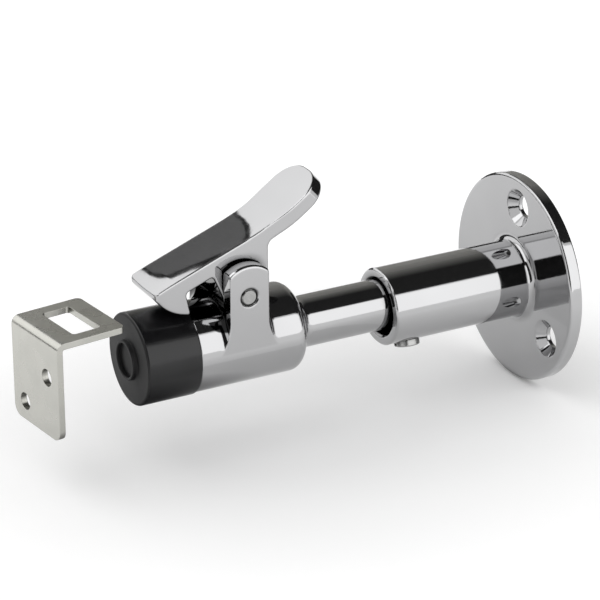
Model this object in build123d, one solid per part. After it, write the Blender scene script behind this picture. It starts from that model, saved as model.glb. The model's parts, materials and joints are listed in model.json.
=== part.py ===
from build123d import *
import os
from math import acos, asin, atan2, cos, degrees, hypot, radians, sin, sqrt, tan

# Door stop with a sprung catch: a wall flange with a socket, a stem that slides in it and carries a
# rubber buffer, a catch lever on top of the stem's head, and the keeper that the lever hooks.
# Millimetres. The origin is the centre of the flange's back face on the wall, +X runs along the
# stem away from the wall, and +Z is up.

# Wall flange and socket, cast in one
flange_d = 50.0
flange_t = 3.0
flange_edge_r = 0.8
socket_d = 18.2
socket_end = 39.7
socket_rim = 0.4
socket_foot_r = 1.6
bore_d = 13.5
bore_floor = 6.0
bore_mouth = 0.5
fixing_count = 3
fixing_pcd = 36.0
fixing_hole_d = 5.0
fixing_sink_d = 9.0
fixing_sink_angle = 90.0
first_fixing_angle = 86.0

# Set screw under the socket, turned a little towards the front
screw_x = 33.3
screw_angle = 16.0
screw_d = 4.0
screw_fit = 0.05
screw_tip_gap = 0.1
screw_head_d = 6.0
screw_head_h = 1.6
screw_head_edge = 0.3
screw_seat_d = 6.8
screw_seat_depth = 0.6
screw_seat_gap = 0.15
screw_slot_w = 0.9
screw_slot_depth = 0.8

# Stem with its head, cast in one
stem_d = 12.0
stem_roof_gap = 0.05
stem_rear = 16.0
stem_rear_chamfer = 1.0
shoulder_start = 60.0
head_start = 65.5
head_d = 20.7
head_end = 89.8
spigot_d = 9.0
spigot_depth = 8.0
spigot_end_gap = 0.5

# Ears of the head and the pin through them
pivot_setback = 11.8
pivot_rise = 13.65
ear_w = 9.5
ear_t = 3.4
ear_inset = 0.05
ear_top_r = 7.55
ear_edge_r = 0.8
ear_foot_r = 2.4
pin_d = 4.0
pin_chamfer = 0.45
pin_inset = 0.1
pin_mouth = 0.4

# Rubber buffer on the head's end
buffer_d = 21.2
buffer_len = 13.1
buffer_edge_r = 0.7
lip_d = 9.2
lip_h = 1.1
lip_wall = 0.7
lip_floor = 0.1

# Catch lever, an even section across its width
lever_side_gap = 0.35
deck_height = 11.53
deck_slope = 20.8
deck_straight = 0.2
thumb_bend_r = 60.0
thumb_turn = 21.8
thumb_w = 14.4
thumb_corner_r = 6.3
thumb_flare = 7.0
paddle_t = 3.65
beam_t = 3.8
nose_reach = 21.6
nose_crown_r = 80.0
nose_crown_len = 5.5
nose_bow = 0.75
nose_corner_r = 1.0
nose_r = 1.2
hook_reach = 12.5
hook_lean = 0.22
hook_bulge = 1.5
hook_r = 0.6
hook_gap = 0.1
throat_r = 1.0
web_reach = 7.0
web_rear = 6.65
web_foot = 0.45
web_top_r = 0.8
web_rear_r = 2.2
web_foot_r = 0.6
boss_r = 4.4
boss_gap = 0.9
pin_fit = 0.05
dish_depth = 0.35
deck_edge_r = 0.5

# Torsion spring round the pin, in a slot of the lever
wire_d = 0.7
spring_pin_gap = 0.25
spring_turns = 4
spring_pitch = 0.76
spring_leg = 6.5
spring_slot_gap = 0.35
spring_side_gap = 0.5

# Keeper, one folded strip, and the place where it nears the catch
keeper_away = 21.55
keeper_y = 1.0
keeper_turn = 7.1
keeper_w = 19.2
keeper_t = 1.45
keeper_drop = 23.2
keeper_reach = 17.2
keeper_bend_r = 1.9
keeper_foot_r = 2.4
keeper_end_r = 1.2
keeper_pass_gap = 0.25
window_from = 5.9
window_depth = 6.9
window_side_gap = 0.15
window_corner_r = 0.8
keeper_hole_d = 4.0
keeper_hole_side = 4.85
keeper_hole_high = 9.3
keeper_hole_low = 18.7

# Places that follow from the sizes above
bore_r = bore_d / 2
socket_r = socket_d / 2
stem_r = stem_d / 2
head_r = head_d / 2
buffer_r = buffer_d / 2
pin_r = pin_d / 2
stem_z = bore_r - stem_r - stem_roof_gap
pivot_x = head_end - pivot_setback
pivot_z = stem_z + pivot_rise
ear_outer = head_r - ear_inset
ear_inner = ear_outer - ear_t
lever_w = 2 * (ear_inner - lever_side_gap)
buffer_top = stem_z + buffer_r
keeper_x = head_end + buffer_len + lip_h + keeper_away


def corner(shape, u, v):
    """The vertex of a flat shape nearest to (u, v)."""
    return shape.vertices().sort_by_distance((u, v, 0))[0]


def turned(profile, height=0.0):
    """A profile of (distance from the wall, radius) turned about an axis along X at a height."""
    return Pos(0, 0, height) * revolve(Plane.XZ * profile, Axis.X)


def across(section, width):
    """A section seen from the side, drawn out to both sides of the middle plane."""
    return extrude(Plane.XZ * section, width / 2, both=True)


def screw_plane(distance=0.0):
    """Plane across the set screw's axis, at a distance from the socket's axis."""
    angle = radians(screw_angle)
    return Plane((screw_x, 0, 0), x_dir=(1, 0, 0), z_dir=(0, sin(angle), -cos(angle))).offset(distance)


def make_base():
    """Flange and socket with a blind bore, three countersunk fixing holes and the screw's hole."""
    outline = [
        (0, 0),
        (0, flange_d / 2),
        (flange_t, flange_d / 2),
        (flange_t, socket_r),
        (socket_end, socket_r),
        (socket_end, bore_r),
        (bore_floor, bore_r),
        (bore_floor, 0),
    ]
    profile = make_face(Polyline(*outline, close=True))
    profile = fillet(corner(profile, flange_t, flange_d / 2), flange_edge_r)
    profile = fillet(corner(profile, flange_t, socket_r), socket_foot_r)
    profile = chamfer(corner(profile, socket_end, socket_r), socket_rim)
    profile = chamfer(corner(profile, socket_end, bore_r), bore_mouth)
    body = turned(profile)

    sink = CounterSinkHole(
        radius=fixing_hole_d / 2,
        counter_sink_radius=fixing_sink_d / 2,
        depth=flange_t,
        counter_sink_angle=fixing_sink_angle,
        mode=Mode.PRIVATE,
    )
    front = Plane((flange_t, 0, 0), x_dir=(0, 1, 0), z_dir=(1, 0, 0))
    ring = PolarLocations(fixing_pcd / 2, fixing_count, start_angle=first_fixing_angle)
    for place in ring:
        body -= front * place * sink

    hole = extrude(screw_plane() * Circle(screw_d / 2 + screw_fit), socket_d)
    seat = extrude(screw_plane(socket_r - screw_seat_depth) * Circle(screw_seat_d / 2), socket_r)
    return body - hole - seat


def make_set_screw():
    """Slotted screw whose tip stops just under the stem and whose head stands below the socket."""
    tip = stem_r - stem_z * cos(radians(screw_angle)) + screw_tip_gap
    head_top = socket_r - screw_seat_depth + screw_seat_gap
    head_end = head_top + screw_head_h
    shank = extrude(screw_plane(tip) * Circle(screw_d / 2), head_top - tip)
    head = extrude(screw_plane(head_top) * Circle(screw_head_d / 2), screw_head_h)
    head = fillet(head.edges().sort_by(Axis.Z)[0], screw_head_edge)
    slot = extrude(
        screw_plane(head_end - screw_slot_depth) * Rectangle(2 * screw_head_d, screw_slot_w),
        screw_head_h,
    )
    return head + shank - slot


def shoulder():
    """Two equal arcs that lead from the stem's radius to the head's."""
    middle = ((shoulder_start + head_start) / 2, (stem_r + head_r) / 2)
    hollow = TangentArc((shoulder_start, stem_r), middle, tangent=(1, 0))
    crown = TangentArc((head_start, head_r), middle, tangent=(-1, 0))
    return hollow + crown


def ear_outline():
    """Ear seen from the side, with straight flanks and a top round the pin at its origin."""
    half = ear_w / 2
    cheek = sqrt(ear_top_r ** 2 - half ** 2)
    flanks = Polyline((-half, cheek), (-half, -pivot_rise), (half, -pivot_rise), (half, cheek))
    return make_face(flanks + ThreePointArc((-half, cheek), (0, ear_top_r), (half, cheek)))


def make_stem():
    """Stem, shoulder and head turned in one, with two ears for the lever and a hollow for its boss."""
    outline = Polyline(
        (shoulder_start, stem_r),
        (stem_rear + stem_rear_chamfer, stem_r),
        (stem_rear, stem_r - stem_rear_chamfer),
        (stem_rear, 0),
        (head_end - spigot_depth - spigot_end_gap, 0),
        (head_end - spigot_depth - spigot_end_gap, spigot_d / 2),
        (head_end, spigot_d / 2),
        (head_end, head_r),
        (head_start, head_r),
    )
    body = turned(make_face(outline + shoulder()), stem_z)

    side = Plane((pivot_x, ear_inner, pivot_z), x_dir=(1, 0, 0), z_dir=(0, -1, 0))
    ear = extrude(side * ear_outline(), -ear_t)
    body += ear + mirror(ear, Plane.XZ)
    feet = [
        e
        for e in body.edges().filter_by(GeomType.CIRCLE)
        if abs(abs(e.center().X - pivot_x) - ear_w / 2) < 0.01
    ]
    body = fillet(feet, ear_foot_r)
    tops = [
        e
        for e in body.edges().filter_by(GeomType.CIRCLE)
        if e.center().Z > pivot_z and ear_inner - 0.01 < abs(e.center().Y) < ear_outer + 0.01
    ]
    body = fillet(tops, ear_edge_r)

    pivot = Plane((pivot_x, 0, pivot_z), x_dir=(1, 0, 0), z_dir=(0, -1, 0))
    hollow = extrude(pivot * Circle(boss_r + boss_gap), ear_inner, both=True)
    hole = extrude(pivot * Circle(pin_r), head_d, both=True)
    mouth = Solid.make_cone(pin_r, pin_r + 2 * pin_mouth, 2 * pin_mouth, pivot.offset(ear_outer - pin_mouth))
    return body - hollow - hole - mouth - mirror(mouth, Plane.XZ)


def make_pin():
    """Pin pressed through both ears, chamfered at its ends and a little below their faces."""
    pivot = Plane((pivot_x, 0, pivot_z), x_dir=(1, 0, 0), z_dir=(0, -1, 0))
    pin = extrude(pivot * Circle(pin_r), ear_outer - pin_inset, both=True)
    return chamfer(pin.edges().filter_by(GeomType.CIRCLE), pin_chamfer)


def make_buffer():
    """Rubber buffer with a spigot in the head and a raised lip round the middle of its face."""
    face = head_end + buffer_len
    lip_r = lip_d / 2
    outline = [
        (head_end, spigot_d / 2),
        (head_end, buffer_r),
        (face, buffer_r),
        (face, lip_r),
        (face + lip_h, lip_r),
        (face + lip_h, lip_r - lip_wall),
        (face + lip_floor, lip_r - lip_wall),
        (face + lip_floor, 0),
        (head_end - spigot_depth, 0),
        (head_end - spigot_depth, spigot_d / 2),
    ]
    profile = make_face(Polyline(*outline, close=True))
    profile = fillet(corner(profile, face, buffer_r), buffer_edge_r)
    profile = fillet(corner(profile, face + lip_h, lip_r), lip_wall / 3)
    return turned(profile, stem_z)


def on_deck(reach, depth=0.0):
    """Point of the lever's side view at a reach from the pivot, so deep below the straight deck."""
    slope = radians(deck_slope)
    return (reach - depth * sin(slope), deck_height - reach * tan(slope) - depth * cos(slope))


def nose_slope(share=1.0):
    """Slope in radians along the crown that leads from the straight deck (0) to the nose (1)."""
    slope = radians(deck_slope)
    return slope + share * nose_crown_len / cos(slope) / nose_crown_r


def nose_point(share=1.0):
    """Point of that crown, in the lever's side view."""
    start = on_deck(nose_reach - nose_crown_len)
    first = nose_slope(0)
    last = nose_slope(share)
    return (
        start[0] + nose_crown_r * (sin(last) - sin(first)),
        start[1] + nose_crown_r * (cos(last) - cos(first)),
    )


def thumb_centre():
    """Middle of the bend that leads from the straight deck up to the thumb's end."""
    start = on_deck(-deck_straight)
    slope = radians(deck_slope)
    return (start[0] + thumb_bend_r * sin(slope), start[1] + thumb_bend_r * cos(slope))


def thumb_point(turn, depth=0.0):
    """Point of the thumb's bend after a turn in degrees, so deep below its top."""
    centre = thumb_centre()
    angle = radians(deck_slope + turn)
    radius = thumb_bend_r + depth
    return (centre[0] - radius * sin(angle), centre[1] - radius * cos(angle))


def turn_at(reach, depth):
    """Turn in degrees after which the bend, so deep below its top, stands at a reach from the pivot."""
    return degrees(asin((thumb_centre()[0] - reach) / (thumb_bend_r + depth))) - deck_slope


def boss_tangent(point, side):
    """Where a line from a point touches the boss, on its front (-1) or its rear (+1)."""
    angle = atan2(point[1], point[0]) + side * acos(boss_r / hypot(*point))
    return (boss_r * cos(angle), boss_r * sin(angle))


def lever_outline():
    """Lever seen from the side, with the pivot at its origin."""
    slope = tan(radians(deck_slope))
    nose = nose_point()
    web_top = (web_reach, on_deck(0)[1] - beam_t / cos(radians(deck_slope)) - web_reach * slope)
    tip = (hook_reach, buffer_top + hook_gap - pivot_z)
    throat_u = (web_top[1] + web_reach * slope - tip[1] + hook_reach / hook_lean) / (slope + 1 / hook_lean)
    throat = (throat_u, web_top[1] - (throat_u - web_reach) * slope)
    heel = (-web_rear, web_foot)
    rear_turn = turn_at(-web_rear, paddle_t)
    rear_top = thumb_point(rear_turn, paddle_t)
    front_foot = boss_tangent(web_top, -1)
    rear_foot = boss_tangent(heel, 1)
    chord = (nose[0] - tip[0], nose[1] - tip[1])
    length = hypot(*chord)
    belly = (
        (nose[0] + tip[0]) / 2 + hook_bulge * chord[1] / length,
        (nose[1] + tip[1]) / 2 - hook_bulge * chord[0] / length,
    )

    edges = ThreePointArc(nose, nose_point(0.5), nose_point(0))
    edges += Line(nose_point(0), thumb_point(0))
    edges += ThreePointArc(thumb_point(0), thumb_point(thumb_turn / 2), thumb_point(thumb_turn))
    edges += Line(thumb_point(thumb_turn), thumb_point(thumb_turn, paddle_t))
    edges += ThreePointArc(
        thumb_point(thumb_turn, paddle_t),
        thumb_point((thumb_turn + rear_turn) / 2, paddle_t),
        rear_top,
    )
    edges += Polyline(rear_top, heel, rear_foot)
    edges += ThreePointArc(rear_foot, (0, -boss_r), front_foot)
    edges += Polyline(front_foot, web_top, throat, tip)
    edges += ThreePointArc(tip, belly, nose)
    outline = make_face(edges)
    outline = fillet(corner(outline, *nose), nose_r)
    outline = fillet(corner(outline, *tip), hook_r)
    outline = fillet(corner(outline, *throat), throat_r)
    outline = fillet(corner(outline, *web_top), web_top_r)
    outline = fillet(corner(outline, *rear_top), web_rear_r)
    return fillet(corner(outline, *heel), web_foot_r)


def deck_dish():
    """Shallow trough across the whole deck, from the nose to the thumb's end, with a lid above it."""
    nose = nose_point()
    slope = nose_slope()
    start = (nose[0] + 2 * cos(slope), nose[1] - 2 * sin(slope))
    end = thumb_point(thumb_turn)
    run_out = radians(deck_slope + thumb_turn)
    path = Line(start, nose)
    path += ThreePointArc(nose, nose_point(0.5), nose_point(0))
    path += Line(nose_point(0), thumb_point(0))
    path += ThreePointArc(thumb_point(0), thumb_point(thumb_turn / 2), end)
    path += Line(end, (end[0] - 2 * cos(run_out), end[1] + 2 * sin(run_out)))
    path = Plane.XZ * path
    half = 0.55 * thumb_w
    rise = dish_depth * (half / (thumb_w / 2)) ** 2 - dish_depth
    bottom = ThreePointArc((-half, rise), (0, -dish_depth), (half, rise))
    lid = Polyline((half, rise), (half, 2), (-half, 2), (-half, rise))
    first = Plane((start[0], 0, start[1]), x_dir=(0, -1, 0), z_dir=(-cos(slope), 0, sin(slope)))
    return sweep(first * make_face(bottom + lid), path)


def lever_plan():
    """Lever seen from above: a bowed nose, even sides past the ears, a wider thumb behind them."""
    start = (-web_rear, lever_w / 2)
    end = (-web_rear - thumb_flare, thumb_w / 2)
    middle = ((start[0] + end[0]) / 2, (start[1] + end[1]) / 2)
    swell = TangentArc(start, middle, tangent=(-1, 0)) + TangentArc(end, middle, tangent=(1, 0))
    far = thumb_point(thumb_turn, paddle_t)[0] - thumb_w
    rear = Polyline(end, (far, thumb_w / 2), (far, -thumb_w / 2), (end[0], -end[1]))
    cheek = (nose_reach - nose_bow, lever_w / 2)
    front = ThreePointArc(cheek, (nose_reach, 0), (cheek[0], -cheek[1]))
    sides = Line(start, cheek) + Line((cheek[0], -cheek[1]), (start[0], -start[1]))
    plan = make_face(swell + mirror(swell, Plane.XZ) + rear + front + sides)
    cheeks = [corner(plan, *cheek), corner(plan, cheek[0], -cheek[1])]
    return fillet(cheeks, nose_corner_r)


def make_lever():
    """Catch lever with a dished deck, a rounded thumb, a pin hole and a slot for the spring."""
    body = across(lever_outline(), thumb_w) & extrude(lever_plan(), 2 * nose_reach, both=True)
    end = thumb_point(thumb_turn, paddle_t / 2)
    corners = [body.edges().sort_by_distance((end[0], y, end[1]))[0] for y in (-thumb_w / 2, thumb_w / 2)]
    body = fillet(corners, thumb_corner_r)
    spots = [on_deck(nose_reach / 2), thumb_point(thumb_turn / 2)]
    tops = [body.faces().sort_by_distance((u, 0, v))[0] for u, v in spots]
    rims = [e for face in tops for e in face.edges() if abs(e.center().Y) > deck_edge_r]
    body = fillet(rims, deck_edge_r) - deck_dish()

    coil_r = pin_r + spring_pin_gap + wire_d + spring_slot_gap
    slot_w = (spring_turns + 0.5) * spring_pitch + wire_d + 2 * spring_side_gap
    room = across(Circle(coil_r), slot_w)
    bay = across(Pos(-web_rear, 0) * Rectangle(2 * web_rear, 2 * coil_r), slot_w)
    under = across(Pos(-web_rear, -boss_r) * Rectangle(2 * web_rear, 2 * boss_r), slot_w)
    hole = across(Circle(pin_r + pin_fit), 2 * lever_w)
    return Pos(pivot_x, 0, pivot_z) * (body - room - bay - under - hole)


def make_spring():
    """Torsion spring: one leg lies along the head behind the pin, the other lifts the thumb."""
    radius = pin_r + spring_pin_gap + wire_d / 2
    height = (spring_turns + 0.5) * spring_pitch
    coil = Helix(spring_pitch, height, radius)
    first = coil % 0
    last = coil % 1
    leg_in = Line(coil @ 0 - first * spring_leg, coil @ 0)
    leg_out = Line(coil @ 1, coil @ 1 + last * spring_leg)
    ring = Circle(wire_d / 2)
    wire = sweep(Plane(coil @ 0, z_dir=first) * ring, coil, is_frenet=True)
    wire += extrude(Plane(leg_in @ 0, z_dir=first) * ring, spring_leg)
    wire += extrude(Plane(leg_out @ 0, z_dir=last) * ring, spring_leg)
    seat = Plane((pivot_x, height / 2, pivot_z), x_dir=(0, 0, -1), z_dir=(0, -1, 0))
    return seat * wire


def make_keeper():
    """Folded strip with a window for the hook in its shelf and two screw holes in its plate."""
    inner = keeper_bend_r - keeper_t
    section = [
        (0, -keeper_drop),
        (0, 0),
        (-keeper_reach, 0),
        (-keeper_reach, -keeper_t),
        (-keeper_t, -keeper_t),
        (-keeper_t, -keeper_drop),
    ]
    fold = make_face(Polyline(*section, close=True))
    fold = fillet(corner(fold, 0, 0), keeper_bend_r)
    fold = fillet(corner(fold, -keeper_t, -keeper_t), inner)
    body = across(fold, keeper_w)
    foot_edges = body.edges().filter_by(Axis.X).group_by(Axis.Z)[0]
    body = fillet(foot_edges, keeper_foot_r)
    end_edges = body.edges().filter_by(Axis.Z).group_by(Axis.X)[0]
    body = fillet(end_edges, keeper_end_r)

    window_w = lever_w + 2 * window_side_gap
    window = Pos(-window_from - window_depth / 2, 0) * RectangleRounded(
        window_depth, window_w, window_corner_r
    )
    body -= extrude(window, 2 * keeper_t, both=True)
    plate = Plane((0, 0, 0), x_dir=(0, 1, 0), z_dir=(1, 0, 0))
    spots = Locations((keeper_hole_side, -keeper_hole_high), (-keeper_hole_side, -keeper_hole_low))
    for place in spots:
        body -= extrude(plate * place * Circle(keeper_hole_d / 2), 2 * keeper_t, both=True)
    top = buffer_top + keeper_pass_gap + keeper_t
    return Pos(keeper_x, keeper_y, top) * Rot(0, 0, keeper_turn) * body


def main():
    os.makedirs("parts", exist_ok=True)
    export_step(make_base(), "parts/wall_flange_socket.step")
    export_step(make_set_screw(), "parts/set_screw.step")
    export_step(make_stem(), "parts/stem_and_head.step")
    export_step(make_pin(), "parts/pivot_pin.step")
    export_step(make_buffer(), "parts/rubber_buffer.step")
    export_step(make_lever(), "parts/catch_lever.step")
    export_step(make_spring(), "parts/lever_spring.step")
    export_step(make_keeper(), "parts/keeper.step")


if __name__ == "__main__":
    main()
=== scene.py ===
"""Dresses the door stop with its catch and keeper: plating, rubber, spring wire, sheet steel and a studio."""

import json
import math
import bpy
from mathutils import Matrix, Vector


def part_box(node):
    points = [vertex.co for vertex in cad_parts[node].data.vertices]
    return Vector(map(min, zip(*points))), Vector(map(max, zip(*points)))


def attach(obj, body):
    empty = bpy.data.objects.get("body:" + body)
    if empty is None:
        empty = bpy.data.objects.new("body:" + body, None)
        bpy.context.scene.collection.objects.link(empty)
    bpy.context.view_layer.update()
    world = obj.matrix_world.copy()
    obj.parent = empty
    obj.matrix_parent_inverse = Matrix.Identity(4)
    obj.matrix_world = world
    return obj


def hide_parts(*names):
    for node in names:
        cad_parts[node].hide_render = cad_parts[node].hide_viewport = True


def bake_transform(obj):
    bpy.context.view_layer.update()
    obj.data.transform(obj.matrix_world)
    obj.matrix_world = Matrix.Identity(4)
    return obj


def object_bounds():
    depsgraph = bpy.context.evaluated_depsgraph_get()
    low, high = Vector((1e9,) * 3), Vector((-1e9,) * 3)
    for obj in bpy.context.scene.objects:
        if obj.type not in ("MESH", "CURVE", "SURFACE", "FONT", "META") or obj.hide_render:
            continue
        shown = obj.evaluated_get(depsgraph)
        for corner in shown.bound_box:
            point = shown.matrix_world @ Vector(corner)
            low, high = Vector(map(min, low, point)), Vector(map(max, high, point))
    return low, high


bl_info = {
    "name": "Door stop with catch",
    "version": (1, 0, 0),
    "blender": (4, 5, 0),
    "location": "View3D > Sidebar > Door stop",
    "description": "Finishes the parts of a wall door stop with a catch lever and lights them",
    "category": "Object",
}

import bpy
from mathutils import Matrix, Vector

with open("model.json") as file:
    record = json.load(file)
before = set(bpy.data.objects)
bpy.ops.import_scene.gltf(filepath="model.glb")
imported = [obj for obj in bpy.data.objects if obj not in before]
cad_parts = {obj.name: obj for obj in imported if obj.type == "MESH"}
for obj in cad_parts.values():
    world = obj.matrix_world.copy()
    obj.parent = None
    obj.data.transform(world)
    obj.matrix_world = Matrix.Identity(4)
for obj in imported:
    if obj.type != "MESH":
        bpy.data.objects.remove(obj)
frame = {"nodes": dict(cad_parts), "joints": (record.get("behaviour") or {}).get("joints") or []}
CAD_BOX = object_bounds()
BUFFER_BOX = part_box("rubber_buffer")
HEAD_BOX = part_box("stem_and_head")
JOINTS = {joint["name"]: joint for joint in frame["joints"]}
PIVOT = Vector(JOINTS["lever_pivot"]["pos_m"])
SCREW_AXIS = Vector(JOINTS["set_screw_turn"]["axis"])
SCREW_FOOT = Vector(JOINTS["set_screw_turn"]["pos_m"])

# Hollows darkened with painted shade: the throat behind the lever's hook and the front feet of the ears.
# Each has a centre, a radius round it and a range of distances from the middle plane, in metres
THROAT = PIVOT + Vector((0.0093, 0.0, 0.0012))
THROAT_RADIUS = 0.0053
THROAT_WIDTH = (-0.0063, 0.0063)
EAR_FOOT = PIVOT + Vector((0.006, 0.0, -0.0053))
EAR_FOOT_RADIUS = 0.0026
EAR_WIDTH = (0.0066, 0.01)

# How near counts as the same place, in metres
SAME_PLACE = 1e-6
SAME_DEPTH = 1e-5
SAME_RADIUS = 2e-5
DOUBLES = 2e-6

# Facets of the pieces made here
BUFFER_SIDES = 160
WIRE_SIDES = 14
STEPS_A_TURN = 30

# The round floor, and the gaps from the object's lowest point to the card with the painted shadow and to the
# floor, in metres
FLOOR_SIDES = 96
FLOOR_RADIUS = 3.0
FLOOR_MIDDLE = (0.06, 0.0)
SHADE_GAP = 0.0002
FLOOR_GAP = 0.0004

# Flat cards: name, cloth, and range along X, Y and Z in metres
UNDER = CAD_BOX[0].z - SHADE_GAP
CARDS = (
    ("top_card", "black", (-1.3, 0.3), (-0.15, 0.755), (0.9, 0.9)),
    ("rear_card", "faded", (-1.3, 0.2), (-0.75, -0.15), (0.9, 0.9)),
    ("front_card", "black", (0.42, 1.9), (1.05, 1.05), (-0.02, 1.85)),
    ("side_card", "faded", (-1.3, -0.25), (-1.0, -1.0), (-0.02, 0.515)),
    ("end_card", "black", (-1.3, -1.3), (-1.0, 0.6), (-0.02, 0.9)),
    ("low_card", "dark", (-0.25, 1.6), (-1.0, -1.0), (-0.02, 0.2)),
    ("floor_card", "dark", (-0.25, 1.6), (-1.0, -0.42), (-0.02, -0.02)),
    # The card under the object carries a painted shadow, dark under the object and pale at its edges.
    ("shade_card", "shade", (0.03, 0.14), (-0.05, 0.05), (UNDER, UNDER)),
)

# Leaning cards behind the object: cloth, how far forward they hang, and outline in X and Z, in metres
BACK_EDGE = (
    (-0.012, 0.517), (0.016, 0.545), (0.048, 0.581), (0.09, 0.632), (0.127, 0.69), (0.157, 0.755),
    (0.18, 0.785), (0.24, 0.9),
)
BACK_INNER = tuple((x - 0.014, z + 0.008) for x, z in BACK_EDGE)
BACK_CARDS = (
    ("black", 0.0, ((-1.3, 0.517), *BACK_EDGE, (-1.3, 0.9))),
    ("slate", 0.004, ((-0.25, 0.529), (-0.03, 0.529), *BACK_INNER, (-0.25, 0.9))),
    ("faded", 0.004, ((-1.3, 0.515), (-0.25, 0.515), (-0.25, 0.9), (-1.3, 0.9))),
)
BACK_DEPTH = -1.0
BACK_FOOT = 0.515
BACK_LEAN = 0.25 / 0.385

# Lights: name, setting for the brightness, size and place in metres, and turn about X in degrees
SOFTBOXES = (
    ("front_softbox", "softbox", (1.9, 1.15), (-0.55, 1.05, 0.56), -90.0),
    ("back_softbox", "back_light", (1.7, 1.1), (0.65, -1.05, 0.55), 90.0),
    ("top_softbox", "top_light", (0.7, 1.2), (0.72, -0.1, 0.95), 0.0),
)


class PlatingFinish(bpy.types.PropertyGroup):
    """Polished plating on the castings, and the bright steel of the pin and the screw."""

    tint: bpy.props.FloatVectorProperty(
        name="Plating", description="Reflection colour of the plating", subtype="COLOR",
        size=3, min=0.0, max=1.0, default=(0.435, 0.435, 0.44),
    )
    smear: bpy.props.FloatProperty(
        name="Smear", description="Roughness of the polish at its dullest", min=0.0, max=1.0,
        subtype="FACTOR", default=0.075,
    )
    ripple: bpy.props.FloatProperty(
        name="Ripple", description="Depth of the soft waves left by hand polishing", unit="LENGTH",
        min=0.0, max=0.001, default=0.000008, precision=6,
    )
    worn_edge: bpy.props.FloatProperty(
        name="Worn edge", description="Radius of the rounding that polishing leaves on edges", unit="LENGTH",
        min=0.0, max=0.002, default=0.0005, precision=5,
    )
    steel: bpy.props.FloatVectorProperty(
        name="Steel", description="Colour of the pin and the screw", subtype="COLOR",
        size=3, min=0.0, max=1.0, default=(0.38, 0.38, 0.375),
    )


class BufferShape(bpy.types.PropertyGroup):
    """Sizes and colour of the rubber buffer."""

    edge: bpy.props.FloatProperty(
        name="Edge", description="Rounding of the edge round the face", unit="LENGTH",
        min=0.0001, max=0.004, default=0.0007, precision=5,
    )
    rear_edge: bpy.props.FloatProperty(
        name="Rear edge", description="Rounding of the edge against the head", unit="LENGTH",
        min=0.00005, max=0.002, default=0.0003, precision=5,
    )
    length: bpy.props.FloatProperty(
        name="Length", description="From the head to the face", unit="LENGTH",
        min=0.002, max=0.05, default=0.0131, precision=5,
    )
    lip_radius: bpy.props.FloatProperty(
        name="Lip radius", description="Outer radius of the raised lip", unit="LENGTH",
        min=0.001, max=0.009, default=0.0046, precision=5,
    )
    lip_wall: bpy.props.FloatProperty(
        name="Lip wall", description="Thickness of the raised lip", unit="LENGTH",
        min=0.0002, max=0.004, default=0.0007, precision=5,
    )
    lip_floor: bpy.props.FloatProperty(
        name="Lip floor", description="Height of the floor inside the lip over the face", unit="LENGTH",
        min=0.0, max=0.002, default=0.0001, precision=5,
    )
    spigot_radius: bpy.props.FloatProperty(
        name="Spigot radius", description="Radius of the spigot in the head", unit="LENGTH",
        min=0.001, max=0.009, default=0.0045, precision=5,
    )
    rubber: bpy.props.FloatVectorProperty(
        name="Rubber", description="Colour of the moulded rubber", subtype="COLOR",
        size=3, min=0.0, max=1.0, default=(0.0045, 0.0045, 0.005),
    )


class SpringShape(bpy.types.PropertyGroup):
    """Sizes and colour of the torsion spring round the pin."""

    wire: bpy.props.FloatProperty(
        name="Wire", description="Thickness of the spring wire", unit="LENGTH",
        min=0.0002, max=0.002, default=0.0007, precision=5,
    )
    coil_radius: bpy.props.FloatProperty(
        name="Coil radius", description="From the pin's axis to the middle of the wire", unit="LENGTH",
        min=0.0005, max=0.01, default=0.0026, precision=5,
    )
    pitch: bpy.props.FloatProperty(
        name="Pitch", description="From one turn to the next", unit="LENGTH",
        min=0.0002, max=0.005, default=0.00076, precision=5,
    )
    turns: bpy.props.FloatProperty(
        name="Turns", description="Turns between the legs", min=1.0, max=20.0, default=4.5,
    )
    leg: bpy.props.FloatProperty(
        name="Leg", description="Length of each straight leg", unit="LENGTH",
        min=0.001, max=0.02, default=0.0065, precision=5,
    )
    steel: bpy.props.FloatVectorProperty(
        name="Wire steel", description="Colour of the drawn wire", subtype="COLOR",
        size=3, min=0.0, max=1.0, default=(0.38, 0.38, 0.39),
    )


class KeeperFinish(bpy.types.PropertyGroup):
    """Finish of the folded keeper."""

    sheet: bpy.props.FloatVectorProperty(
        name="Sheet", description="Colour of the stainless sheet", subtype="COLOR",
        size=3, min=0.0, max=1.0, default=(0.495, 0.492, 0.456),
    )
    dullness: bpy.props.FloatProperty(
        name="Dullness", description="Roughness of the rolled surface", subtype="FACTOR",
        min=0.0, max=1.0, default=0.27,
    )


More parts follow.
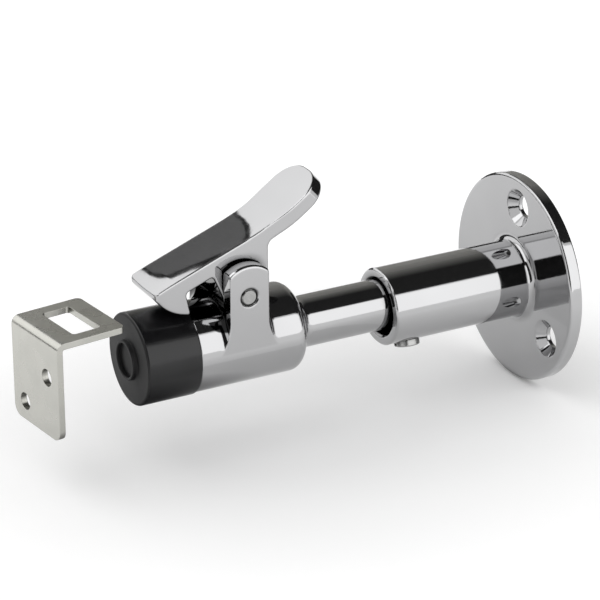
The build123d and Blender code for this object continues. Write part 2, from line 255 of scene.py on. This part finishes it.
class StudioSettings(bpy.types.PropertyGroup):
    """Camera, floor and lights."""

    azimuth: bpy.props.FloatProperty(
        name="Azimuth", description="Where the camera stands round the object", subtype="ANGLE",
        default=math.radians(151.662),
    )
    elevation: bpy.props.FloatProperty(
        name="Elevation", description="How high the camera stands", subtype="ANGLE",
        default=math.radians(23.901),
    )
    roll: bpy.props.FloatProperty(
        name="Roll", description="Turn of the camera about its own line of sight", subtype="ANGLE",
        default=math.radians(-0.027),
    )
    place: bpy.props.FloatVectorProperty(
        name="Place", description="Place of the camera", subtype="XYZ_LENGTH", size=3,
        default=(0.330365, 0.501355, 0.258439),
    )
    lens: bpy.props.FloatProperty(
        name="Lens", description="Focal length in millimetres on a 36 mm sensor", min=1.0, max=1000.0,
        default=165.15,
    )
    floor: bpy.props.FloatVectorProperty(
        name="Floor", description="Colour of the pale floor", subtype="COLOR",
        size=3, min=0.0, max=1.0, default=(0.93, 0.93, 0.93),
    )
    surround: bpy.props.FloatProperty(
        name="Surround", description="How far the floor is lifted towards white where it is seen",
        min=0.0, max=1.0, default=0.32,
    )
    fill: bpy.props.FloatProperty(
        name="Fill", description="Strength of the even light from all round", min=0.0, max=2.0, default=0.66,
    )
    softbox: bpy.props.FloatProperty(
        name="Softbox", description="Brightness of the large light in front", min=0.0, max=10.0, default=0.9,
    )
    back_light: bpy.props.FloatProperty(
        name="Back light", description="Brightness of the light behind", min=0.0, max=10.0, default=0.55,
    )
    top_light: bpy.props.FloatProperty(
        name="Top light", description="Brightness of the light overhead", min=0.0, max=10.0, default=1.2,
    )


def deselect_all():
    """Leaves edit mode and deselects every object."""
    if bpy.context.object and bpy.context.object.mode != "OBJECT":
        bpy.ops.object.mode_set(mode="OBJECT")
    bpy.ops.object.select_all(action="DESELECT")


def named(name):
    """Gives the object just added a name, and the same name to its mesh."""
    piece = bpy.context.object
    piece.name = name
    piece.data.name = name
    return piece


def edit():
    """Goes into edit mode with nothing selected."""
    bpy.ops.object.mode_set(mode="EDIT")
    bpy.ops.mesh.select_all(action="DESELECT")


def pick(piece, mode, test):
    """Selects the vertices, edges or faces of a mesh in edit mode for which a test holds."""
    bpy.ops.object.mode_set(mode="OBJECT")
    mesh = piece.data
    for group in (mesh.vertices, mesh.edges, mesh.polygons):
        group.foreach_set("select", [False] * len(group))
    chosen = {"VERT": mesh.vertices, "EDGE": mesh.edges, "FACE": mesh.polygons}[mode]
    found = 0
    for part in chosen:
        if test(part):
            part.select = True
            found += 1
    if not found:
        raise RuntimeError(f"nothing of {piece.name} was selected")
    bpy.ops.object.mode_set(mode="EDIT")
    bpy.ops.mesh.select_mode(type=mode)


def finish_mesh(piece, angle=35.0):
    """Closes a piece: doubles merged, faces outwards, smooth up to an angle, place in the mesh."""
    bpy.ops.object.mode_set(mode="EDIT")
    bpy.ops.mesh.select_all(action="SELECT")
    bpy.ops.mesh.remove_doubles(threshold=DOUBLES)
    bpy.ops.mesh.normals_make_consistent(inside=False)
    bpy.ops.object.mode_set(mode="OBJECT")
    bpy.ops.object.transform_apply(location=True, rotation=True, scale=True)
    bpy.ops.object.shade_smooth_by_angle(angle=math.radians(angle))


class Nodes:
    """A tree of shader nodes under construction: adds nodes and links their sockets."""

    def __init__(self, tree):
        self.tree = tree

    def node(self, kind, **values):
        """Adds a node and sets its properties or unlinked inputs."""
        made = self.tree.nodes.new(kind)
        for key, value in values.items():
            if hasattr(made, key):
                setattr(made, key, value)
            else:
                made.inputs[key.replace("_", " ").title()].default_value = value
        return made

    def link(self, source, target):
        """Links two sockets."""
        self.tree.links.new(source, target)

    def joined(self, operation, first, second):
        """Joins two values into one."""
        made = self.node("ShaderNodeMath", operation=operation)
        self.link(first, made.inputs[0])
        self.link(second, made.inputs[1])
        return made.outputs["Value"]

    def ramp(self, value, low, high, start=0.3, end=0.7):
        """Spreads a pattern between two numbers."""
        made = self.node("ShaderNodeMapRange", from_min=start, from_max=end, to_min=low, to_max=high)
        self.link(value, made.inputs["Value"])
        return made.outputs["Result"]

    def seen(self):
        """One where a thing is seen, also in a mirror or through glass, nought where it only gives light."""
        rays = self.node("ShaderNodeLightPath")
        mirrored = self.joined("MAXIMUM", rays.outputs["Is Glossy Ray"], rays.outputs["Is Transmission Ray"])
        return self.joined("MAXIMUM", rays.outputs["Is Camera Ray"], mirrored)


class Finish(Nodes):
    """A material under construction, with patterns in the object's own coordinates."""

    def __init__(self, name):
        self.material = bpy.data.materials.new(name)
        self.material.use_nodes = True
        super().__init__(self.material.node_tree)
        self.shader = self.tree.nodes["Principled BSDF"]

    def place(self, scale=(1.0, 1.0, 1.0), centre=(0.0, 0.0, 0.0), turn=(0.0, 0.0, 0.0)):
        """Object coordinates, moved so that a point is the middle, turned, then stretched."""
        where = self.node("ShaderNodeTexCoord")
        shift = self.node("ShaderNodeVectorMath", operation="SUBTRACT")
        shift.inputs[1].default_value = centre
        frame_turn = self.node("ShaderNodeMapping", vector_type="POINT", rotation=turn)
        stretch = self.node("ShaderNodeVectorMath", operation="MULTIPLY")
        stretch.inputs[1].default_value = scale
        self.link(where.outputs["Object"], shift.inputs[0])
        self.link(shift.outputs["Vector"], frame_turn.inputs["Vector"])
        self.link(frame_turn.outputs["Vector"], stretch.inputs[0])
        return stretch.outputs["Vector"]

    def away(self, scale, centre=(0.0, 0.0, 0.0)):
        """Distance from a point, stretched along each axis."""
        made = self.node("ShaderNodeVectorMath", operation="LENGTH")
        self.link(self.place(scale=scale, centre=centre), made.inputs[0])
        return made.outputs["Value"]

    def noise(self, vector, scale, detail=3.0, roughness=0.5):
        """Cloudy pattern with values round a half."""
        made = self.node("ShaderNodeTexNoise", scale=scale, detail=detail, roughness=roughness)
        self.link(vector, made.inputs["Vector"])
        return made.outputs["Fac"]

    def tones(self, value, first, second, start=0.3, end=0.7):
        """Spreads a pattern between two colours."""
        made = self.node("ShaderNodeMix", data_type="RGBA")
        colours = [socket for socket in made.inputs if socket.type == "RGBA"]
        colours[0].default_value = (*first, 1.0)
        colours[1].default_value = (*second, 1.0)
        self.link(self.ramp(value, 0.0, 1.0, start, end), made.inputs[0])
        return [socket for socket in made.outputs if socket.type == "RGBA"][0]

    def shaded(self, colour, level):
        """Multiplies a colour by a value."""
        made = self.node("ShaderNodeVectorMath", operation="SCALE")
        self.link(colour, made.inputs[0])
        self.link(level, made.inputs["Scale"])
        return made.outputs["Vector"]

    def bump(self, height, depth, normal=None):
        """Raises the surface by a pattern."""
        made = self.node("ShaderNodeBump", distance=depth)
        self.link(height, made.inputs["Height"])
        if normal is not None:
            self.link(normal, made.inputs["Normal"])
        return made.outputs["Normal"]

    def worn(self, radius):
        """Normal that runs round sharp edges."""
        return self.node("ShaderNodeBevel", samples=8, radius=radius).outputs["Normal"]

    def painted_shade_in_hollows(self, colour, reach, darkest):
        """Darkens a colour where the surface lies in a hollow: painted shade."""
        hollow = self.node("ShaderNodeAmbientOcclusion", samples=8, distance=reach)
        return self.shaded(colour, self.ramp(hollow.outputs["AO"], darkest, 1.0, start=0.4, end=0.88))

    def painted_shade_band(self, colour, centre, radius, width, darkest=0.05):
        """Paints shade: darkens a colour round a line across the part, within a range of distances to either
        side.
        """
        inside = self.node("ShaderNodeMath", operation="COMPARE")
        inside.inputs[1].default_value = (width[0] + width[1]) / 2
        inside.inputs[2].default_value = (width[1] - width[0]) / 2
        self.link(self.away(scale=(0.0, 1.0, 0.0)), inside.inputs[0])
        round_it = self.away(scale=(1.0, 0.0, 1.0), centre=centre)
        clear_round = self.ramp(round_it, darkest, 1.0, start=radius * 0.9, end=radius)
        clear_beside = self.ramp(inside.outputs["Value"], 1.0, darkest, start=0.0, end=1.0)
        return self.shaded(colour, self.joined("MAXIMUM", clear_round, clear_beside))


def scaled(colour, factor):
    """A colour made lighter or darker."""
    return tuple(min(1.0, channel * factor) for channel in colour)


def plated_finish(name, settings):
    """Mirror plating with faint polishing waves, wiped smears, softened edges and painted shade in its
    hollows.
    """
    plating = Finish(name)
    around = plating.place()
    clouds = plating.noise(around, scale=55.0, detail=2.0)
    smears = plating.noise(plating.place(scale=(0.5, 1.0, 1.0)), scale=420.0, detail=4.0, roughness=0.6)
    waves = plating.noise(around, scale=130.0, detail=1.0, roughness=0.4)
    tint = plating.tones(clouds, scaled(settings.tint, 0.965), scaled(settings.tint, 1.02))
    # Painted shade: the plating is darkened nearly to black in the throat behind the hook and at the feet of
    # the ears.
    tint = plating.painted_shade_band(tint, THROAT, THROAT_RADIUS, THROAT_WIDTH)
    tint = plating.painted_shade_band(tint, EAR_FOOT, EAR_FOOT_RADIUS, EAR_WIDTH)
    # Painted shade: the plating is darker wherever its surface lies in a hollow.
    plating.link(plating.painted_shade_in_hollows(tint, reach=0.003, darkest=0.08), plating.shader.inputs["Base Color"])
    dull = plating.ramp(smears, settings.smear * 0.45, settings.smear)
    plating.link(dull, plating.shader.inputs["Roughness"])
    normal = plating.bump(waves, settings.ripple, normal=plating.worn(settings.worn_edge))
    plating.link(normal, plating.shader.inputs["Normal"])
    plating.shader.inputs["Metallic"].default_value = 1.0
    return plating.material


def turned_steel(name, colour, centre, axis):
    """Bright steel with the rings that turning leaves across its ends, and painted shade where it lies in
    hollows.
    """
    steel = Finish(name)
    turn = axis.rotation_difference(Vector((0.0, 0.0, 1.0))).to_euler()
    rings = steel.node(
        "ShaderNodeTexWave", wave_type="RINGS", rings_direction="SPHERICAL",
        scale=900.0, distortion=1.5, detail=2.0,
    )
    steel.link(steel.place(scale=(1.0, 1.0, 0.0), centre=centre, turn=turn), rings.inputs["Vector"])
    grain = steel.noise(steel.place(), scale=900.0)
    tint = steel.tones(grain, scaled(colour, 0.9), scaled(colour, 1.06))
    # Painted shade: the steel is darker where it lies in a hollow, as in the groove round the pin's end.
    steel.link(steel.painted_shade_in_hollows(tint, reach=0.0015, darkest=0.15), steel.shader.inputs["Base Color"])
    steel.link(steel.ramp(grain, 0.16, 0.3), steel.shader.inputs["Roughness"])
    normal = steel.bump(rings.outputs["Fac"], depth=0.000012, normal=steel.worn(0.00015))
    steel.link(normal, steel.shader.inputs["Normal"])
    steel.shader.inputs["Metallic"].default_value = 1.0
    return steel.material


def moulded_rubber(name, colour, face):
    """Satin black rubber with a fine moulded grain and a little grey bloom, duller over its face."""
    rubber = Finish(name)
    around = rubber.place()
    bloom = rubber.noise(around, scale=260.0, detail=5.0, roughness=0.6)
    grain = rubber.noise(around, scale=5200.0, detail=2.0)
    streaks = rubber.noise(rubber.place(scale=(0.12, 1.0, 1.0)), scale=1500.0)
    tint = rubber.tones(bloom, colour, scaled(colour, 1.7), start=0.35, end=0.75)
    rubber.link(tint, rubber.shader.inputs["Base Color"])
    along = rubber.node("ShaderNodeSeparateXYZ")
    rubber.link(around, along.inputs["Vector"])
    over_face = rubber.ramp(along.outputs["X"], 0.0, 0.35, start=face - 0.0005, end=face - 0.0001)
    dull = rubber.joined("ADD", rubber.ramp(bloom, 0.17, 0.25), over_face)
    rubber.link(dull, rubber.shader.inputs["Roughness"])
    fine = rubber.bump(grain, depth=0.000006)
    rubber.link(rubber.bump(streaks, depth=0.000008, normal=fine), rubber.shader.inputs["Normal"])
    rubber.shader.inputs["Specular IOR Level"].default_value = 0.4
    return rubber.material


def drawn_wire(name, colour):
    """Grey spring wire."""
    wire = Finish(name)
    grain = wire.noise(wire.place(scale=(1.0, 3.0, 1.0)), scale=2600.0)
    wire.link(wire.tones(grain, scaled(colour, 0.8), scaled(colour, 1.15)), wire.shader.inputs["Base Color"])
    wire.link(wire.ramp(grain, 0.24, 0.4), wire.shader.inputs["Roughness"])
    wire.link(wire.bump(grain, depth=0.000006), wire.shader.inputs["Normal"])
    wire.shader.inputs["Metallic"].default_value = 1.0
    return wire.material


def rolled_sheet(name, settings):
    """Mill-finish stainless sheet: rolled grain, mottled sheen, softened edges and painted shade in its
    holes.
    """
    sheet = Finish(name)
    around = sheet.place()
    mottle = sheet.noise(around, scale=170.0, detail=2.0)
    rolled = sheet.noise(sheet.place(scale=(1.0, 0.06, 1.0)), scale=5200.0, detail=2.0)
    pits = sheet.noise(around, scale=3000.0, detail=2.0)
    tint = sheet.tones(mottle, scaled(settings.sheet, 0.94), scaled(settings.sheet, 1.04))
    # Painted shade: the sheet is darker where it lies in a hollow, as on the walls of its holes.
    sheet.link(sheet.painted_shade_in_hollows(tint, reach=0.004, darkest=0.25), sheet.shader.inputs["Base Color"])
    dull = sheet.ramp(mottle, settings.dullness * 0.9, settings.dullness * 1.12)
    sheet.link(dull, sheet.shader.inputs["Roughness"])
    grain = sheet.bump(rolled, depth=0.0000015, normal=sheet.worn(0.00015))
    sheet.link(sheet.bump(pits, depth=0.0000015, normal=grain), sheet.shader.inputs["Normal"])
    sheet.shader.inputs["Metallic"].default_value = 1.0
    return sheet.material


def coat(node, material):
    """Puts a material on a CAD node."""
    slots = frame["nodes"][node].material_slots
    if not slots:
        raise RuntimeError(f"{node} has no material slot")
    for slot in slots:
        slot.material = material


class DOORSTOP_OT_plate_castings(bpy.types.Operator):
    """Plate the wall socket, the stem with its head, and the catch lever"""

    bl_idname = "door_stop.plate_castings"
    bl_label = "Plate the castings"

    def execute(self, context):
        settings = context.scene.door_stop_plating
        plating = plated_finish("polished_plating", settings)
        for node in ("wall_flange_socket", "stem_and_head", "catch_lever"):
            coat(node, plating)
        return {"FINISHED"}


class DOORSTOP_OT_turn_fixings(bpy.types.Operator):
    """Give the pivot pin and the set screw their turned steel"""

    bl_idname = "door_stop.turn_fixings"
    bl_label = "Turn the pin and the screw"

    def execute(self, context):
        colour = context.scene.door_stop_plating.steel
        coat("pivot_pin", turned_steel("pin_steel", colour, PIVOT, Vector((0.0, 1.0, 0.0))))
        coat("set_screw", turned_steel("screw_steel", colour, SCREW_FOOT, SCREW_AXIS))
        return {"FINISHED"}


class DOORSTOP_OT_mould_buffer(bpy.types.Operator):
    """Mould the rubber buffer with its lip and its spigot"""

    bl_idname = "door_stop.mould_buffer"
    bl_label = "Mould the buffer"

    def execute(self, context):
        shape = context.scene.door_stop_buffer
        low, high = BUFFER_BOX
        radius = (high.z - low.z) / 2
        height = (high.z + low.z) / 2
        head_end = HEAD_BOX[1].x
        face = head_end + shape.length
        deselect_all()
        bpy.ops.mesh.primitive_cylinder_add(
            vertices=BUFFER_SIDES, radius=radius, depth=shape.length, end_fill_type="NGON",
            location=((head_end + face) / 2, 0.0, height), rotation=(0.0, math.pi / 2, 0.0),
        )
        buffer = named("moulded_buffer")
        bpy.ops.object.transform_apply(location=True, rotation=True, scale=True)
        edit()
        self.raise_lip(buffer, shape, face, radius, high.x)
        self.draw_spigot(buffer, shape, head_end, radius, low.x)
        self.round_edges(buffer, shape, head_end, face, radius, height, high.x)
        finish_mesh(buffer, 30.0)
        buffer.data.materials.append(moulded_rubber("moulded_rubber", shape.rubber, face))
        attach(buffer, "stem")
        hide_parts("rubber_buffer")
        return {"FINISHED"}

    def raise_lip(self, buffer, shape, face, radius, lip_end):
        """Insets the face to the lip, raises it and sinks the floor inside it."""
        pick(buffer, "FACE", lambda part: part.normal.x > 0.9 and part.center.x > face - SAME_PLACE)
        bpy.ops.mesh.inset(thickness=radius - shape.lip_radius)
        bpy.ops.mesh.extrude_region_move(TRANSFORM_OT_translate={"value": (lip_end - face, 0.0, 0.0)})
        bpy.ops.mesh.inset(thickness=shape.lip_wall)
        sink = face + shape.lip_floor - lip_end
        bpy.ops.mesh.extrude_region_move(TRANSFORM_OT_translate={"value": (sink, 0.0, 0.0)})

    def draw_spigot(self, buffer, shape, head_end, radius, spigot_end):
        """Insets the back to the spigot and draws it out into the head."""
        pick(buffer, "FACE", lambda part: part.normal.x < -0.9 and part.center.x < head_end + SAME_PLACE)
        bpy.ops.mesh.inset(thickness=radius - shape.spigot_radius)
        bpy.ops.mesh.extrude_region_move(TRANSFORM_OT_translate={"value": (spigot_end - head_end, 0.0, 0.0)})

    def round_edges(self, buffer, shape, head_end, face, radius, height, lip_end):
        """Rounds the rim of the face, the rim against the head and both edges of the lip."""
        def ring(x, r):
            def on_ring(edge):
                ends = [buffer.data.vertices[index].co for index in edge.vertices]
                return all(
                    abs(end.x - x) < SAME_DEPTH and abs(math.hypot(end.y, end.z - height) - r) < SAME_RADIUS
                    for end in ends
                )
            return on_ring

        lip_inner = shape.lip_radius - shape.lip_wall
        rounds = (
            (face, radius, shape.edge, 10),
            (head_end, radius, shape.rear_edge, 4),
            (lip_end, shape.lip_radius, shape.lip_wall * 0.33, 4),
            (lip_end, lip_inner, shape.lip_wall * 0.33, 4),
            (face, shape.lip_radius, shape.lip_wall * 0.3, 3),
        )
        for x, r, size, steps in rounds:
            pick(buffer, "EDGE", ring(x, r))
            bpy.ops.mesh.bevel(offset=size, segments=steps, affect="EDGES")


class DOORSTOP_OT_wind_spring(bpy.types.Operator):
    """Wind the torsion spring round the pin and draw out its two legs"""

    bl_idname = "door_stop.wind_spring"
    bl_label = "Wind the spring"

    def execute(self, context):
        shape = context.scene.door_stop_spring
        half = shape.turns * shape.pitch / 2
        deselect_all()
        bpy.ops.mesh.primitive_circle_add(
            vertices=WIRE_SIDES, radius=shape.wire / 2, fill_type="NOTHING",
            location=(0.0, half, -shape.coil_radius), rotation=(0.0, math.pi / 2, 0.0),
        )
        spring = named("wound_spring")
        bpy.ops.object.transform_apply(location=True, rotation=True, scale=True)
        winding = spring.modifiers.new("winding", "SCREW")
        winding.axis = "Y"
        winding.angle = -math.tau * shape.turns
        winding.screw_offset = -2 * half
        winding.steps = int(STEPS_A_TURN * shape.turns)
        winding.render_steps = winding.steps
        bpy.ops.object.modifier_apply(modifier=winding.name)
        self.draw_leg(spring, shape, half, -1.0)
        self.draw_leg(spring, shape, -half, 1.0)
        bpy.ops.mesh.select_all(action="SELECT")
        bpy.ops.transform.translate(value=PIVOT)
        finish_mesh(spring, 40.0)
        spring.data.materials.append(drawn_wire("spring_wire", shape.steel))
        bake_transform(spring)
        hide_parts("lever_spring")
        return {"FINISHED"}

    def draw_leg(self, spring, shape, end, side):
        """Draws the coil's end at a place along the pin, below (-1) or above (1) it, out backwards."""
        near = 0.52 * shape.wire

        def at_end(edge):
            ends = [spring.data.vertices[index].co for index in edge.vertices]
            return all(abs(co.x) < SAME_PLACE and side * co.z > 0 and abs(co.y - end) < near for co in ends)

        pick(spring, "EDGE", at_end)
        drift = -side * shape.leg * shape.pitch / (math.tau * shape.coil_radius)
        bpy.ops.mesh.extrude_region_move(TRANSFORM_OT_translate={"value": (-shape.leg, drift, 0.0)})
        bpy.ops.mesh.edge_face_add()


class DOORSTOP_OT_finish_keeper(bpy.types.Operator):
    """Give the folded keeper its rolled stainless surface"""

    bl_idname = "door_stop.finish_keeper"
    bl_label = "Finish the keeper"

    def execute(self, context):
        coat("keeper", rolled_sheet("rolled_stainless", context.scene.door_stop_keeper))
        return {"FINISHED"}


def card(name, corners, material):
    """A flat card of the studio from its corners in turn, seen only in reflections."""
    deselect_all()
    bpy.ops.mesh.primitive_circle_add(vertices=len(corners), fill_type="NGON")
    piece = named(name)
    for vertex, corner in zip(piece.data.vertices, corners):
        vertex.co = corner
    piece.data.materials.append(material)
    piece.visible_camera = False
    piece.visible_shadow = False
    piece.visible_diffuse = False


def flat_corners(ranges):
    """Corners in turn of a rectangle from its range along each axis, one of which is a single value."""
    first, second = [axis for axis in range(3) if ranges[axis][0] != ranges[axis][1]]
    corners = []
    for along, up in ((0, 0), (1, 0), (1, 1), (0, 1)):
        corner = [low for low, _ in ranges]
        corner[first] = ranges[first][along]
        corner[second] = ranges[second][up]
        corners.append(corner)
    return corners


def felt(name, colour):
    """Dull cloth for a card, with a faint nap."""
    cloth = Finish(name)
    nap = cloth.noise(cloth.place(), scale=300.0, detail=2.0)
    return dulled(cloth, cloth.tones(nap, scaled(colour, 0.9), scaled(colour, 1.1)))


def faded_felt(name, colour, far, scale, centre, start, end):
    """Dull cloth that fades to another colour with the distance from a point."""
    cloth = Finish(name)
    return dulled(cloth, cloth.tones(cloth.away(scale, centre), colour, far, start, end))


def dulled(cloth, tint):
    """Colours a cloth and takes its shine away."""
    cloth.link(tint, cloth.shader.inputs["Base Color"])
    cloth.shader.inputs["Roughness"].default_value = 1.0
    cloth.shader.inputs["Specular IOR Level"].default_value = 0.0
    return cloth.material


class DOORSTOP_OT_set_stage(bpy.types.Operator):
    """Lay the floor, hang the lights and the cards, and set up the camera"""

    bl_idname = "door_stop.set_stage"
    bl_label = "Set the stage"

    def execute(self, context):
        studio = context.scene.door_stop_studio
        self.lay_floor(studio)
        self.hang_cards()
        self.hang_softboxes(studio)
        self.light_room(context, studio)
        self.aim_camera(context, studio)
        return {"FINISHED"}

    def lay_floor(self, studio):
        """Pale floor under the lowest point of the object."""
        deselect_all()
        bpy.ops.mesh.primitive_circle_add(
            vertices=FLOOR_SIDES, radius=FLOOR_RADIUS, fill_type="NGON",
            location=(*FLOOR_MIDDLE, CAD_BOX[0].z - FLOOR_GAP),
        )
        floor = named("studio_floor")
        paint = Finish("pale_floor")
        mottle = paint.noise(paint.place(), scale=30.0)
        tone = paint.tones(mottle, scaled(studio.floor, 0.995), scaled(studio.floor, 1.005))
        paint.link(tone, paint.shader.inputs["Base Color"])
        paint.shader.inputs["Roughness"].default_value = 0.9
        paint.shader.inputs["Specular IOR Level"].default_value = 0.1
        self.whiten(paint, studio)
        floor.data.materials.append(paint.material)

    def whiten(self, paint, studio):
        """Lets the floor glow towards white where it is seen, faintly near the object and fully away from it.
        """
        # Painted shade: the glow is only a tenth as strong near the object, so the floor stays darker round
        # it, also in reflections.
        spread = paint.ramp(
            paint.away(scale=(1.0, 1.4, 0.0)), studio.surround * 0.1, studio.surround, start=0.03, end=0.17,
        )
        paint.link(paint.joined("MULTIPLY", paint.seen(), spread), paint.shader.inputs["Emission Strength"])
        paint.shader.inputs["Emission Color"].default_value = (1.0, 1.0, 1.0, 1.0)

    def hang_cards(self):
        """Dark cards that give the plating something to reflect, and a card under the object with a painted
        shadow for the plating to reflect.
        """
        felts = {
            "black": felt("black_felt", (0.03, 0.03, 0.03)),
            "slate": felt("slate_felt", (0.22, 0.22, 0.22)),
            "dark": felt("dark_felt", (0.06, 0.06, 0.06)),
            "faded": faded_felt(
                "faded_felt", (0.03, 0.03, 0.03), (0.42, 0.415, 0.39),
                scale=(0.0, 1.0, 0.0), centre=(0.0, 0.0, 0.0), start=0.15, end=1.0,
            ),
            # Painted shadow: dark under the object and fading out to pale within a few centimetres, seen only
            # in reflections.
            "shade": faded_felt(
                "painted_floor_shadow", (0.12, 0.12, 0.12), (0.9, 0.9, 0.9),
                scale=(1.0, 1.0, 0.0), centre=(0.1, 0.0, 0.0), start=0.01, end=0.034,
            ),
        }
        for name, cloth, *ranges in CARDS:
            card(name, flat_corners(ranges), felts[cloth])
        for cloth, forward, outline in BACK_CARDS:
            corners = [(x, BACK_DEPTH + forward + (z - BACK_FOOT) * BACK_LEAN, z) for x, z in outline]
            card("back_card", corners, felts[cloth])

    def hang_softboxes(self, studio):
        """Large even lights in front of the object, behind it and over its free end."""
        for name, setting, size, place, turn in SOFTBOXES:
            bpy.ops.object.light_add(type="AREA", location=place, rotation=(math.radians(turn), 0, 0))
            lamp = bpy.context.object
            lamp.name = name
            lamp.data.shape = "RECTANGLE"
            lamp.data.size, lamp.data.size_y = size
            lamp.data.energy = getattr(studio, setting) * math.pi * size[0] * size[1]

    def light_room(self, context, studio):
        """White surroundings: full white where they are seen, softer where they light the object."""
        world = bpy.data.worlds.new("studio_room")
        context.scene.world = world
        world.use_nodes = True
        room = Nodes(world.node_tree)
        background = room.tree.nodes["Background"]
        background.inputs["Color"].default_value = (1.0, 1.0, 1.0, 1.0)
        level = room.ramp(room.seen(), studio.fill, 1.0, start=0.0, end=1.0)
        room.link(level, background.inputs["Strength"])

    def aim_camera(self, context, studio):
        """Camera with the long lens of a product picture."""
        lens = bpy.data.cameras.new("picture_camera")
        lens.lens = studio.lens
        lens.sensor_width = 36.0
        lens.clip_start = 0.01
        lens.clip_end = 50.0
        camera = bpy.data.objects.new("picture_camera", lens)
        context.scene.collection.objects.link(camera)
        across = Vector((math.cos(studio.azimuth), math.sin(studio.azimuth), 0.0))
        back = Vector((
            math.sin(studio.azimuth) * math.cos(studio.elevation),
            -math.cos(studio.azimuth) * math.cos(studio.elevation),
            math.sin(studio.elevation),
        ))
        upright = back.cross(across)
        stand = Matrix((across, upright, back)).transposed().to_4x4()
        camera.matrix_world = Matrix.Translation(studio.place) @ stand @ Matrix.Rotation(studio.roll, 4, "Z")
        context.scene.camera = camera
        context.scene.view_settings.view_transform = "Standard"


class DOORSTOP_PT_sidebar(bpy.types.Panel):
    """Lists the steps that finish the door stop, with their settings."""

    bl_idname = "DOORSTOP_PT_sidebar"
    bl_label = "Door stop with catch"
    bl_space_type = "VIEW_3D"
    bl_region_type = "UI"
    bl_category = "Door stop"

    def draw(self, context):
        for step, group in STEPS:
            box = self.layout.box()
            box.operator(step.bl_idname)
            settings = getattr(context.scene, group)
            for name in settings.__annotations__:
                box.prop(settings, name)


STEPS = (
    (DOORSTOP_OT_plate_castings, "door_stop_plating"),
    (DOORSTOP_OT_turn_fixings, "door_stop_plating"),
    (DOORSTOP_OT_mould_buffer, "door_stop_buffer"),
    (DOORSTOP_OT_wind_spring, "door_stop_spring"),
    (DOORSTOP_OT_finish_keeper, "door_stop_keeper"),
    (DOORSTOP_OT_set_stage, "door_stop_studio"),
)
SETTINGS = {
    "door_stop_plating": PlatingFinish,
    "door_stop_buffer": BufferShape,
    "door_stop_spring": SpringShape,
    "door_stop_keeper": KeeperFinish,
    "door_stop_studio": StudioSettings,
}


def register():
    """Registers the settings, the steps and the panel."""
    for name, group in SETTINGS.items():
        bpy.utils.register_class(group)
        setattr(bpy.types.Scene, name, bpy.props.PointerProperty(type=group))
    for step, _ in STEPS:
        bpy.utils.register_class(step)
    bpy.utils.register_class(DOORSTOP_PT_sidebar)


def unregister():
    """Takes the panel, the steps and the settings away again."""
    bpy.utils.unregister_class(DOORSTOP_PT_sidebar)
    for step, _ in reversed(STEPS):
        bpy.utils.unregister_class(step)
    for name, group in SETTINGS.items():
        delattr(bpy.types.Scene, name)
        bpy.utils.unregister_class(group)


def main():
    """Runs every step in order."""
    register()
    for step, _ in STEPS:
        area, name = step.bl_idname.split(".")
        getattr(getattr(bpy.ops, area), name)()


if __name__ == "__main__":
    main()
